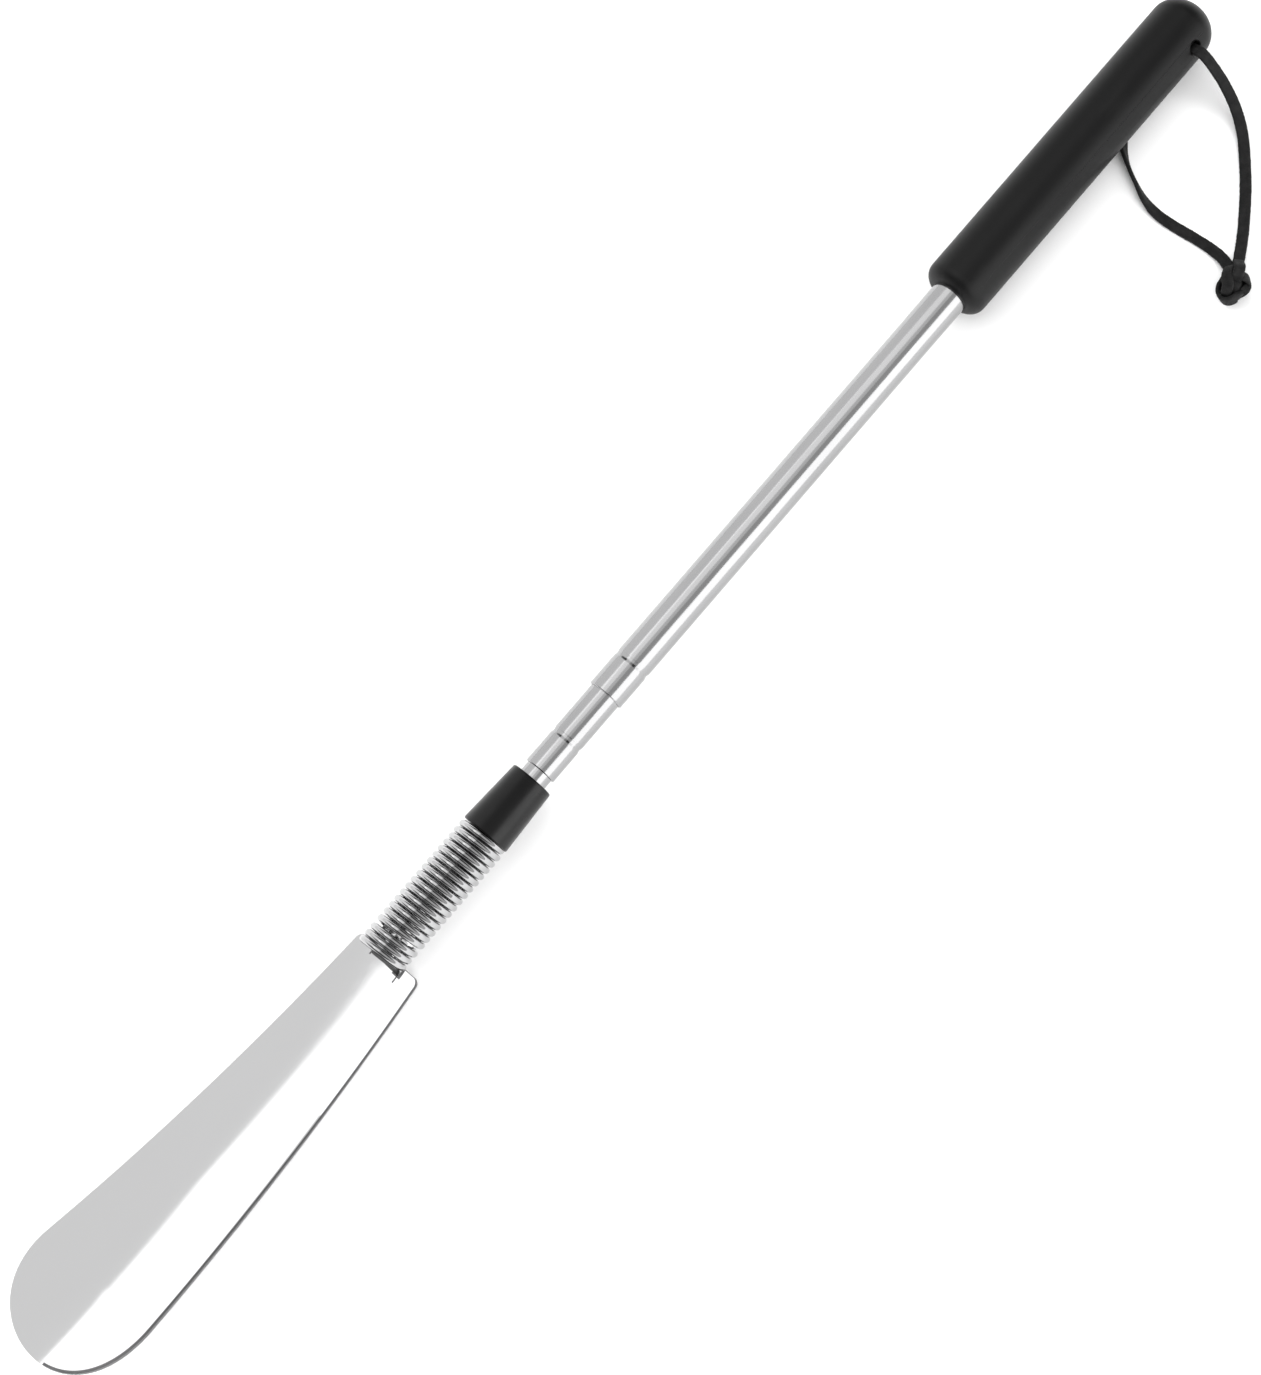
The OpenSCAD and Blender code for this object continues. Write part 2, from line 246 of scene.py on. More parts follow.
LACE_W = 2.8 * MM
LACE_T = 1.0 * MM

# point on the lace's middle line, direction of its width, in millimetres
LACE_ROUTE = [
    ((161.5, -50.4, 3.2), (-0.5, 0.9, 0)),
    ((166.5, -47.9, 2.2), (-0.5, 0.9, 0)),
    ((171.5, -45.3, 1.0), (-0.5, 0.9, 0)),
    ((177.0, -42.0, 0.6), (-0.6, 0.8, 0)),
    ((184.5, -36.9, 0.6), (-0.6, 0.8, 0)),
    ((190.5, -32.2, 0.7), (-0.7, 0.7, 0)),
    ((195.6, -27.6, 1.6), (-0.8, 0.6, 0)),
    ((199.2, -22.6, 3.9), (-0.9, 0.4, 0)),
    ((201.3, -17.2, 7.2), (-1, 0.2, 0)),
    ((202.0, -12.6, 10.5), (-1, 0, 0)),
    ((202.1, -9.6, 12.5), (-1, 0, 0)),
    ((202.1, -6.8, 12.35), (-1, 0, 0)),
    ((202.1, -2.9, 10.55), (-1, 0, 0)),
    ((202.1, 2.8, 7.9), (-1, 0, 0)),
    ((202.1, 6.6, 5.95), (-1, 0, 0)),
    ((202.0, 8.5, 4.8), (-1, 0, 0.1)),
    ((201.2, 9.3, 3.2), (-0.9, 0.2, 0.4)),
    ((199.0, 9.2, 1.7), (-0.6, 0.7, 0.3)),
    ((195.8, 8.2, 0.8), (-0.5, 0.8, 0.1)),
    ((191.5, 5.8, 0.6), (-0.6, 0.8, 0)),
    ((186.5, 2.0, 0.6), (-0.6, 0.8, 0)),
    ((181.5, -1.8, 0.6), (-0.6, 0.8, 0)),
    ((178.0, -4.4, 0.9), (-0.5, 0.8, 0.3)),
    ((175.0, -7.2, 1.4), (-0.4, 0.4, 0.9)),
    ((172.3, -10.6, 1.5), (-0.2, 0.2, 1)),
    ((169.6, -15.0, 1.5), (-0.3, 0.2, 1)),
    ((167.3, -19.6, 1.3), (-0.7, 0.1, 0.7)),
    ((166.2, -24.2, 0.8), (-1, 0, 0.2)),
    ((166.1, -29.5, 0.6), (-1, 0, 0)),
    ((166.4, -35.5, 0.6), (-1, 0, 0)),
    ((166.3, -41.0, 0.8), (-1, 0, 0)),
    ((165.2, -45.2, 1.5), (-0.9, 0.3, 0)),
    ((163.0, -48.4, 2.6), (-0.7, 0.6, 0)),
    ((160.8, -50.6, 3.4), (-0.7, 0.7, 0)),
]
HOLE_STATION = 12.5
LACE_RINGS_PER_SPAN = 12
TANGENT_STEP = 0.05
# how far the lace's edges wander, in long waves and from ring to ring
FRAY_WAVE = 0.06 * MM
FRAY_GRAIN = 0.05 * MM
# where the strands leave the grip's skin, from the middle of its hole, in millimetres
LACE_EXIT_FRONT = Vector((0, -9.5, 5))
LACE_EXIT_REAR = Vector((0, 9.3, -4.8))


def catmull_rom(values, s):
    """The value at place s along a list of vectors."""
    i = min(int(s), len(values) - 2)
    u = s - i
    a, b, c, d = (values[max(0, min(len(values) - 1, k))] for k in (i - 1, i, i + 1, i + 2))
    return ((2 * b) + (c - a) * u + (2 * a - 5 * b + 4 * c - d) * u * u
            + (3 * b - a - 3 * c + d) * u ** 3) / 2


def strip_ring(centre, tangent, across, width, thick, fray):
    """One ring of a flat leather strip: two broad faces and two rounded, slightly ragged edges."""
    across = (across - tangent * across.dot(tangent)).normalized()
    up = across.cross(tangent)
    half_w, half_t = width / 2, thick / 2
    ring = []
    for u, v in ((1.0, 0.0), (0.97, 0.5), (0.88, 0.88), (0.6, 1.0), (0.2, 1.0), (-0.2, 1.0), (-0.6, 1.0),
                 (-0.88, 0.88), (-0.97, 0.5), (-1.0, 0.0), (-0.97, -0.5), (-0.88, -0.88), (-0.6, -1.0),
                 (-0.2, -1.0), (0.2, -1.0), (0.6, -1.0), (0.88, -0.88), (0.97, -0.5)):
        rough = fray[0] if u > 0 else fray[1]
        ring.append(centre + across * (u * half_w + math.copysign(rough, u) * abs(u) ** 3)
                    + up * (v * half_t))
    return ring


def lace_strand(name, start, end):
    """A strand of the lace between two stations of its route, and its centreline."""
    points = [Vector(p) * MM for p, _ in LACE_ROUTE]
    widths = [Vector(w) for _, w in LACE_ROUTE]
    count = int(abs(end - start) * LACE_RINGS_PER_SPAN)
    stations = np.linspace(start, end, count + 1)
    path, rings = [], []
    for k, s in enumerate(stations):
        ahead = catmull_rom(points, min(s + TANGENT_STEP, len(points) - 1))
        behind = catmull_rom(points, max(s - TANGENT_STEP, 0))
        tangent = (ahead - behind).normalized()
        centre = catmull_rom(points, s)
        fray = [FRAY_WAVE * smooth_noise(s * 9, side) + FRAY_GRAIN * wobble(k, side) for side in (1, 2)]
        path.append(centre)
        rings.append(strip_ring(centre, tangent, catmull_rom(widths, s), LACE_W, LACE_T, fray))
    return sweep(name, rings, sharp=60), path


hole = catmull_rom([Vector(p) * MM for p, _ in LACE_ROUTE], HOLE_STATION)
strand_front, path_front = lace_strand("lace_front", 0, HOLE_STATION)
strand_rear, path_rear = lace_strand("lace_rear", HOLE_STATION, len(LACE_ROUTE) - 1)

# knot: the lace wound over and under itself about a ball, the strand that goes in over its top and
# the short end that comes out; points are along, beside and above the knot's middle, in millimetres
KNOT = Vector((160.1, -51.0, 4.05)) * MM
KNOT_HEADING = math.radians(27)
KNOT_ALONG = Vector((math.cos(KNOT_HEADING), math.sin(KNOT_HEADING), 0))
KNOT_SIDE = Vector((-math.sin(KNOT_HEADING), math.cos(KNOT_HEADING), 0))
KNOT_UP = Vector((0, 0, 1))
KNOT_STEPS = 260
KNOT_R = 3.25
KNOT_SCALE = Vector((1.25, 0.95, 1.05))
KNOT_LATITUDE = math.radians(47)
KNOT_LAYER = 0.52
KNOT_LEAN = Matrix.Rotation(math.radians(-24), 3, "Y") @ Matrix.Rotation(math.radians(14), 3, "X")
KNOT_LACE_W = 2.7 * MM
KNOT_FRAY = 0.1 * MM
KNOT_STRAND = [(7.2, -0.2, -1.3), (5.2, -0.4, 1.5), (3.2, -0.7, 3.9), (1.3, -0.6, 4.2), (0.2, -0.3, 2.8)]
KNOT_TAIL = [(-0.6, -2.2, 1.2), (-1.1, -3.1, 1.0), (-1.4, -3.8, 0.8)]
END_LACE_W = 2.6 * MM
END_FRAY = 0.08 * MM
END_RINGS_PER_SPAN = 7
CORE_R = 2.6
CORE_HALF_LEN = 3.2
CORE_RINGS = 24
CORE_SIDES = 48


def knot_place(x, y, z):
    """A point given along, beside and above the knot's middle, in millimetres."""
    return KNOT + (KNOT_ALONG * x + KNOT_SIDE * y + KNOT_UP * z) * MM


def knot_winding(t):
    """The middle line of the winding: twice round the ball while it swings three times up and down."""
    around = 2 * t + 0.5 + 0.16 * math.sin(t)
    high = KNOT_LATITUDE * math.sin(3 * t) * (1 + 0.12 * math.cos(t))
    r = KNOT_R + KNOT_LAYER * math.cos(3 * t)
    p = KNOT_LEAN @ Vector((math.cos(around) * math.cos(high), math.sin(around) * math.cos(high),
                            math.sin(high))) * r
    return knot_place(p.x * KNOT_SCALE.x, p.y * KNOT_SCALE.y, p.z * KNOT_SCALE.z)


def knot_wrap():
    """Rings of the winding, with the lace's broad face turned outwards."""
    rings = []
    for k in range(KNOT_STEPS):
        t = 2 * math.pi * k / KNOT_STEPS
        centre = knot_winding(t)
        tangent = (knot_winding(t + 0.01) - knot_winding(t - 0.01)).normalized()
        across = tangent.cross((centre - KNOT).normalized())
        fray = [KNOT_FRAY * smooth_noise(k * 0.45, 3 + side) for side in (1, 2)]
        rings.append(strip_ring(centre, tangent, across, KNOT_LACE_W, LACE_T, fray))
    rings.append(rings[0])
    return rings


def knot_end(places, across, salt):
    """Rings of a short length of lace through some places, with its width given along, beside and above."""
    points = [knot_place(*place) for place in places]
    across = KNOT_ALONG * across[0] + KNOT_SIDE * across[1] + KNOT_UP * across[2]
    rings = []
    steps = END_RINGS_PER_SPAN * (len(points) - 1)
    for k in range(steps + 1):
        s = (len(points) - 1) * k / steps
        ahead = catmull_rom(points, min(s + TANGENT_STEP, len(points) - 1))
        tangent = (ahead - catmull_rom(points, max(s - TANGENT_STEP, 0))).normalized()
        fray = [END_FRAY * smooth_noise(k * 0.9, salt + side) for side in (1, 2)]
        rings.append(strip_ring(catmull_rom(points, s), tangent, across, END_LACE_W, LACE_T, fray))
    return rings


def join(name, parts, sharp):
    """One object out of several, without the originals."""
    work = bmesh.new()
    for part in parts:
        work.from_mesh(part.data)
        bpy.data.objects.remove(part)
    mesh = bpy.data.meshes.new(name)
    work.to_mesh(mesh)
    work.free()
    obj = bpy.data.objects.new(name, mesh)
    bpy.context.scene.collection.objects.link(obj)
    tidy(obj, sharp)
    return obj


def knot_core():
    """The bundled strands inside the knot, as an uneven solid that closes the gaps between its turns."""
    rings = []
    for i in range(CORE_RINGS + 1):
        a = math.pi * i / CORE_RINGS
        ring = []
        for k in range(CORE_SIDES):
            b = 2 * math.pi * k / CORE_SIDES
            r = CORE_R * math.sin(a) * (1 + 0.1 * math.sin(3 * b + 2 * a)) + 0.01
            ring.append(knot_place(-CORE_HALF_LEN * math.cos(a), r * math.cos(b), r * math.sin(b)))
        rings.append(ring)
    return sweep("knot_core", rings)


knot_parts = [sweep("winding", knot_wrap(), closed_ends=False),
              sweep("end", knot_end(KNOT_STRAND, (0, 1, 0), 8)),
              sweep("end", knot_end(KNOT_TAIL, (-0.9, 0.3, 0.3), 9)),
              knot_core()]
knot = join("lace_wrapped_knot", knot_parts, 60)

for strand, path, exit_point in ((strand_front, path_front, hole + LACE_EXIT_FRONT * MM),
                                 (strand_rear, path_rear, hole + LACE_EXIT_REAR * MM)):
    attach(strand, "handle")
    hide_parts("lace")
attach(knot, "handle")
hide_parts("lace_knot")


# ---------------------------------------------------------------- grip

GRIP_EDGE_R = 3.4 * MM
DOME_H = 6.5 * MM
BORE_BACK = 198.8 * MM
LACE_HOLE_X = 202.1 * MM
LACE_HOLE_D = 3.5 * MM
LACE_HOLE_TURN = Matrix.Rotation(math.radians(63), 3, "X")
LACE_HOLE_ROUND = 0.35 * MM
GRIP_SEGMENTS = 160
GRIP_SHARP = 35
ON_SURFACE = 0.02 * MM


def make_grip():
    """The grip: rounded front edge, straight barrel, domed end, bore for the tube, lace hole."""
    front = [(GRIP_FRONT, OUTER_R)]
    front += [(GRIP_FRONT + GRIP_EDGE_R * (1 - math.cos(a)), GRIP_R - GRIP_EDGE_R * (1 - math.sin(a)))
              for a in np.linspace(0, math.pi / 2, 25)]
    dome = [(GRIP_BACK - DOME_H * (1 - math.sin(a)), GRIP_R * math.cos(a))
            for a in np.linspace(0, math.pi / 2, 41)]
    bore = [(BORE_BACK, 0), (BORE_BACK, OUTER_R), (GRIP_FRONT, OUTER_R)]
    obj = lathe("grip_body", front + dome + bore, segments=GRIP_SEGMENTS, sharp=GRIP_SHARP)
    middle = Vector((LACE_HOLE_X, 0, AXIS_Z))
    depth = 3 * GRIP_R
    rings = []
    for z in (-depth / 2, depth / 2):
        ring = []
        for a in np.linspace(0, 2 * math.pi, 64, endpoint=False):
            place = Vector((LACE_HOLE_D / 2 * math.cos(a), LACE_HOLE_D / 2 * math.sin(a), z))
            ring.append(middle + LACE_HOLE_TURN @ place)
        rings.append(ring)
    cutter = sweep("hole_cutter", rings)
    cut = obj.modifiers.new("hole", "BOOLEAN")
    cut.object = cutter
    cut.operation = "DIFFERENCE"
    cut.solver = "EXACT"
    apply_modifiers(obj)
    bpy.data.objects.remove(cutter)
    round_hole(obj)
    return obj


def round_hole(obj):
    """Rounds the two mouths of the lace hole."""
    along = LACE_HOLE_TURN @ Vector((0, 0, 1))
    middle = Vector((LACE_HOLE_X, 0, AXIS_Z))
    work = bmesh.new()
    work.from_mesh(obj.data)
    rim = []
    for edge in work.edges:
        on_hole = all(abs(((v.co - middle) - along * (v.co - middle).dot(along)).length
                          - LACE_HOLE_D / 2) < ON_SURFACE for v in edge.verts)
        on_skin = all(abs(math.hypot(v.co.y, v.co.z - AXIS_Z) - GRIP_R) < ON_SURFACE for v in edge.verts)
        if on_hole and on_skin:
            rim.append(edge)
    bmesh.ops.bevel(work, geom=rim, offset=LACE_HOLE_ROUND, segments=4, profile=0.5, affect="EDGES")
    work.to_mesh(obj.data)
    work.free()
    shade(obj.data, GRIP_SHARP)


grip = make_grip()
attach(grip, "handle")
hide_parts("grip")


# ---------------------------------------------------------------- tubes

TUBE_WALL = 0.3 * MM
GROOVE_DEPTH = 0.2 * MM
GROOVE_HALF = 1.1 * MM
GROOVE_FROM_END = 9.8 * MM
LIP = 0.35 * MM
BACK_EDGE = 0.1 * MM
INNER_EDGE = 0.08 * MM
TUBE_SEGMENTS = 144


def groove(r, x):
    """A shallow round groove rolled into a wall."""
    return [(x + GROOVE_HALF * u, r - GROOVE_DEPTH * (1 + math.cos(math.pi * u)) / 2)
            for u in np.linspace(-1, 1, 25)]


def grooved_tube(name, x0, x1, r):
    """A drawn tube with a rolled-in lip at its mouth and a groove behind it."""
    inside = r - TUBE_WALL
    lip = arc((x0 + LIP, r - LIP), LIP, 180, 90, 8)
    lip = [(x, max(y, r - GROOVE_DEPTH)) for x, y in lip]
    profile = [(x0, inside - GROOVE_DEPTH)] + lip + groove(r, x0 + GROOVE_FROM_END)
    profile += [(x1 - BACK_EDGE, r), (x1, r - BACK_EDGE), (x1, inside)]
    profile += list(reversed(groove(inside, x0 + GROOVE_FROM_END)))
    profile += [(x0 + 2 * LIP, inside), (x0 + LIP, inside - GROOVE_DEPTH), (x0, inside - GROOVE_DEPTH)]
    return lathe(name, profile, segments=TUBE_SEGMENTS, sharp=40)


def plain_tube(name, x0, x1, r):
    """A straight tube with both outer edges broken."""
    inside = r - TUBE_WALL
    profile = [(x0, inside), (x0, r - INNER_EDGE), (x0 + INNER_EDGE, r), (x1 - INNER_EDGE, r),
               (x1, r - INNER_EDGE), (x1, inside), (x0, inside)]
    return lathe(name, profile, segments=TUBE_SEGMENTS, sharp=40)


outer_tube = grooved_tube("outer_tube_drawn", OUTER_FRONT, OUTER_BACK, OUTER_R)
mid_tube = grooved_tube("mid_tube_drawn", MID_FRONT, MID_BACK, MID_R)
inner_tube = plain_tube("inner_tube_drawn", INNER_FRONT, INNER_BACK, INNER_R)
for obj, body, node in ((outer_tube, "handle", "outer_tube"), (mid_tube, "mid_section", "mid_tube"),
                        (inner_tube, "inner_section", "inner_tube")):
    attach(obj, body)
    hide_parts(node)


# ---------------------------------------------------------------- ferrule

FERRULE_SPIGOT = 9 * MM
FERRULE_SOCKET = 14 * MM
FERRULE_SMALL_R = 11.15 / 2 * MM
NECK_R = 4.465 * MM


def make_ferrule():
    """The tapered ferrule, with its spigot in the spring and its socket for the inner tube."""
    soft, cut = 0.45 * MM, 0.4 * MM
    x0, x1 = FERRULE_FRONT + FERRULE_SPIGOT, FERRULE_BACK
    profile = [(FERRULE_FRONT, 0), (FERRULE_FRONT, NECK_R - cut), (FERRULE_FRONT + cut, NECK_R), (x0, NECK_R)]
    profile += arc((x0 + soft, FERRULE_R - soft), soft, 180, 92, 8)
    profile += arc((x1 - soft, FERRULE_SMALL_R - soft), soft, 86, 0, 8)
    profile += [(x1, INNER_R), (x1 - FERRULE_SOCKET, INNER_R), (x1 - FERRULE_SOCKET, 0)]
    return lathe("ferrule_body", profile, segments=160, sharp=40)


ferrule = make_ferrule()
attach(ferrule, "inner_section")
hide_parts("ferrule")


# ---------------------------------------------------------------- spring

WIRE_R = 1.75 / 2 * MM
COIL_R = 5.65 * MM
COIL_TURNS = 18
COIL_START = 105
COIL_PITCH = 1.9167 * MM
HOOK_ANGLE = 132
HOOK_TURN = 2.5 + (HOOK_ANGLE - COIL_START) / 360
HOOK_ROOM = 0.75 * MM
HOOK_SPREAD = 1.4
FRONT_EXTRA = 0.3
BACK_EXTRA = 0.6
END_SHRINK = 0.35 * MM
SHRINK_LEAD = 0.2
SHRINK_OVER = 0.5
COIL_STEPS = 48
WIRE_SIDES = 18


def coil_x(turn):
    """Place of the wire's middle along the axis; the turns part a little where the hook comes out."""
    return (SPRING_FRONT + WIRE_R + COIL_PITCH * turn
            + HOOK_ROOM * smooth((turn - HOOK_TURN) / HOOK_SPREAD + 0.5))


def coil_point(turn):
    """Middle of the wire; past its last full turn it draws in and runs into the ferrule."""
    a = math.radians(COIL_START + 360 * turn)
    radius = COIL_R - END_SHRINK * smooth((turn - COIL_TURNS + SHRINK_LEAD) / SHRINK_OVER)
    return Vector((coil_x(turn), radius * math.cos(a), AXIS_Z + radius * math.sin(a)))


def make_coil(name, first, last):
    """Part of the spring's wire, from one turn to another, with its cut ends closed flat."""
    rings = []
    count = int((last - first) * COIL_STEPS)
    for i in range(count + 1):
        turn = first + (last - first) * i / count
        centre = coil_point(turn)
        tangent = (coil_point(turn + 0.004) - coil_point(turn - 0.004)).normalized()
        out = centre - Vector((centre.x, 0, AXIS_Z))
        out = (out - tangent * out.dot(tangent)).normalized()
        side = tangent.cross(out)
        rings.append([centre + (out * math.cos(b) + side * math.sin(b)) * WIRE_R
                      for b in np.linspace(0, 2 * math.pi, WIRE_SIDES, endpoint=False)])
    return sweep(name, rings, sharp=50)


HINGE_X = -73.5 * MM
hinge_turn = min(np.linspace(0, COIL_TURNS, COIL_TURNS * COIL_STEPS + 1),
                 key=lambda turn: abs(coil_x(turn) - HINGE_X))
coil_front = make_coil("spring_front_turns", -FRONT_EXTRA, float(hinge_turn))
coil_back = make_coil("spring_back_turns", float(hinge_turn), COIL_TURNS + BACK_EXTRA)
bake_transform(coil_front)
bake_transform(coil_back)
for obj in (coil_front, coil_back):
    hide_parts("spring")


# ---------------------------------------------------------------- blade

BLADE_LEN = 119.1 * MM
SHOULDER_W = 9.5 * MM
EDGE_SPREAD = 0.0786
TIP_LEN = 21.9 * MM
SHEET_T = 1.0 * MM
TIP_BEND_R = 34 * MM
SHOULDER_BEND_R = 150 * MM
SWEEP = 24.5 * MM
LOW_SHARE = 0.685
CORNER_R = 1.6 * MM
EDGE_ROUND = 0.2 * MM
# the upper corner is ground off the edges on the -Y side of this line, fading in over a distance; the faces
# along those edges also take the dark cut-steel material, painted shade that darkens the -Y edges only
EDGE_CHAMFER = 0.3 * MM
GROUND_AND_SHADE_FROM_Y = -3.5 * MM
GROUND_FADE = 6 * MM
NOTCH_LEN = 2.6 * MM
NOTCH_HALF = 4.55 * MM
TONGUE_HALF = 4.2 * MM
TONGUE_BACK = 13.4 * MM
GUTTER_HALF = 5.9 * MM
TONGUE_RISE = 2.1 * MM
TONGUE_START = 0.5 * MM
TONGUE_NARROWS = 0.6 * MM
TONGUE_INSET = 0.45 * MM
GUTTER_OPENS = 3 * MM

# columns of the mesh on one side of the blade's middle, as shares of its half width and, at the
# notch, as places: three in the tongue, one at the notch's edge and the rest out to the blade's edge
SHARES = [0, 0.12, 0.26, 0.4, 0.54, 0.66, 0.76, 0.85, 0.92, 0.972, 1]
TONGUE_COLUMNS = 3
NOTCH_COLUMNS = [0, 1.4 * MM, 2.8 * MM, TONGUE_HALF, NOTCH_HALF, 5.3 * MM, 6.2 * MM, 7.2 * MM, 8.3 * MM,
                 9.4 * MM]
COLUMNS_CHANGE_OVER = 20 * MM
TIP_RAYS = 97
BLADE_ROWS = 61
EAR_ROWS = 9

HOOK_WIDTH = 2 * MM
HOOK_THICK = 0.9 * MM
HOOK_ROOT = 195
TAB_HALF = 0.85 * MM
TAB_THICK = 0.5 * MM
# cross-sections with cut corners: the finger's by its width and thickness, the tab's by its halves
FINGER_SECTION = ((-0.5, 0.1), (-0.42, 0), (0.42, 0), (0.5, 0.1), (0.5, 0.9), (0.42, 1), (-0.42, 1),
                  (-0.5, 0.9))
TAB_SECTION = ((-1, -0.6), (-0.85, -1), (0.85, -1), (1, -0.6), (1, 0.6), (0.85, 1), (-0.85, 1), (-1, 0.6))
# the tab's height beyond the neck, and its size there
TAB_STEPS = ((-HOOK_THICK / 2, 1), (0.5 * MM, 1), (1.2 * MM, 1), (1.4 * MM, 1), (1.45 * MM, 0.8))


def plain_half(d):
    """Half width of the blade at a distance from its tip, without the rounding of its tip."""
    return SHOULDER_W + EDGE_SPREAD * (BLADE_LEN - d)


def blade_bend(d):
    """One over the radius that the sheet is bent to across the blade, at a distance from the tip."""
    u = d / BLADE_LEN
    return (1 - u) / TIP_BEND_R + u / SHOULDER_BEND_R


def blade_z(d):
    """Height of the middle of the sheet: lowest near the shoulder, curving up towards the tip."""
    return SHEET_T / 2 + SWEEP * (d / BLADE_LEN - LOW_SHARE) ** 2


def on_blade(d, y):
    """The point of the blade's middle surface at a distance from the tip and from the axis."""
    r = 1 / blade_bend(d)
    return Vector((BLADE_TIP + d, y, blade_z(d) + r - math.sqrt(r * r - y * y)))


class Surface:
    """A middle surface made of grids that share their edges."""

    def __init__(self):
        self.work = bmesh.new()

    def grid(self, rows):
        """Adds a grid of faces through rows of points."""
        placed = [[self.work.verts.new(p) for p in row] for row in rows]
        for a, b in zip(placed, placed[1:]):
            for k in range(len(a) - 1):
                self.work.faces.new([a[k], a[k + 1], b[k + 1], b[k]])

    def thicken(self, name, thickness, rounding, chamfer, ground_and_shade_below):
        """The sheet: both faces, a wall round every free edge, and that wall's edges rounded. The free edges
        that lie below the given limit in Y have their upper corner ground off. The walls take the dark
        cut-steel material for their dull cut finish; the faces along the ground -Y edges take it too, as
        painted shade on that side only."""
        bmesh.ops.remove_doubles(self.work, verts=self.work.verts, dist=1e-6)
        bmesh.ops.dissolve_degenerate(self.work, edges=self.work.edges, dist=1e-7)
        bmesh.ops.recalc_face_normals(self.work, faces=self.work.faces)
        if sum(f.normal.z * f.calc_area() for f in self.work.faces) < 0:
            bmesh.ops.reverse_faces(self.work, faces=self.work.faces)
        self.work.normal_update()
        verts = list(self.work.verts)
        index = {v: i for i, v in enumerate(verts)}
        count = len(verts)
        free = {v for e in self.work.edges if e.is_boundary for v in e.verts if v.co.y < ground_and_shade_below}
        ground = {v: chamfer * smooth((ground_and_shade_below - v.co.y) / GROUND_FADE) if v in free else 0 for v in verts}
        points = ([v.co + v.normal * (thickness / 2 - ground[v]) for v in verts]
                  + [v.co - v.normal * thickness / 2 for v in verts])
        faces, cut = [], []
        for f in self.work.faces:
            ids = [index[v] for v in f.verts]
            # faces along the -Y free edges are marked for the dark cut-steel material: painted shade on that
            # side only
            if sum(v in free for v in f.verts) > 1:
                cut.append(len(faces))
            faces.append(ids)
            faces.append([i + count for i in reversed(ids)])
        walls = [[index[v] for v in e.verts] for e in self.work.edges if e.is_boundary]
        cut += range(len(faces), len(faces) + len(walls))
        faces += [[a, b, b + count, a + count] for a, b in walls]
        self.work.free()
        obj = new_object(name, points, faces)
        # marked faces take the dark cut-steel material: the walls for their dull cut finish, the ground strip
        # along the -Y edges as painted shade
        for i in cut:
            obj.data.polygons[i].material_index = 1
        tidy(obj, 40)
        edges = obj.modifiers.new("rounding", "BEVEL")
        edges.width = rounding
        edges.segments = 3
        edges.limit_method = "ANGLE"
        edges.angle_limit = math.radians(50)
        edges.use_clamp_overlap = True
        apply_modifiers(obj)
        return obj


def fan():
    """Rows of the rounded tip: rays from the middle of its root, each with the same shares."""
    rows = []
    for a in np.linspace(-math.pi / 2, math.pi / 2, TIP_RAYS):
        reach = TIP_LEN * math.cos(a)
        half = plain_half(TIP_LEN - reach) * math.sin(a)
        rows.append([on_blade(TIP_LEN - reach * s, half * s) for s in SHARES])
    return rows


def blade_half(d):
    """Half width of the blade beyond its tip's rounding, with the shoulder's round corners."""
    into = max(0, d - (BLADE_LEN - CORNER_R))
    return plain_half(d) - CORNER_R + math.sqrt(max(0, CORNER_R ** 2 - into ** 2))


def blade_row(d, root):
    """A row across the blade that passes from shares of its width to the notch's columns."""
    edge = plain_half(d)
    mixed = smooth((d - root + COLUMNS_CHANGE_OVER) / COLUMNS_CHANGE_OVER)
    columns = NOTCH_COLUMNS + [plain_half(root)]
    half = [(1 - mixed) * edge * s + mixed * c * edge / plain_half(root) for s, c in zip(SHARES, columns)]
    return [on_blade(d, -y) for y in reversed(half[1:])] + [on_blade(d, y) for y in half]


def ear_rows(columns, sign, root):
    """The sheet beside the notch on one side, up to the shoulder's round corner."""
    inner, edge = columns[0], columns[-1]
    rows = []
    for u in np.linspace(0, 1, EAR_ROWS):
        d = root + NOTCH_LEN * (math.sin(u * math.pi / 2) if u > 0 else 0)
        outer = blade_half(min(d, BLADE_LEN))
        rows.append([on_blade(d, sign * (inner + (y - inner) * (outer - inner) / (edge - inner)))
                     for y in columns])
    return rows


def make_blade():
    """The blade's sheet: its round tip, its body, an ear on each side of the notch and the tongue."""
    root = BLADE_LEN - NOTCH_LEN
    surface = Surface()
    surface.grid(fan())
    rows = [blade_row(d, root) for d in np.linspace(TIP_LEN, root, BLADE_ROWS)]
    surface.grid(rows)
    last = [p.y for p in rows[-1]]
    middle = len(SHARES) - 1
    left = [-y for y in last[:middle - TONGUE_COLUMNS]][::-1]
    right = last[middle + TONGUE_COLUMNS + 1:]
    surface.grid(ear_rows(left, -1, root))
    surface.grid(ear_rows(right, 1, root))
    surface.grid(tongue_rows(last[middle - TONGUE_COLUMNS:middle + TONGUE_COLUMNS + 1], root))
    return surface.thicken("blade_sheet", SHEET_T, EDGE_ROUND, EDGE_CHAMFER, GROUND_AND_SHADE_FROM_Y)


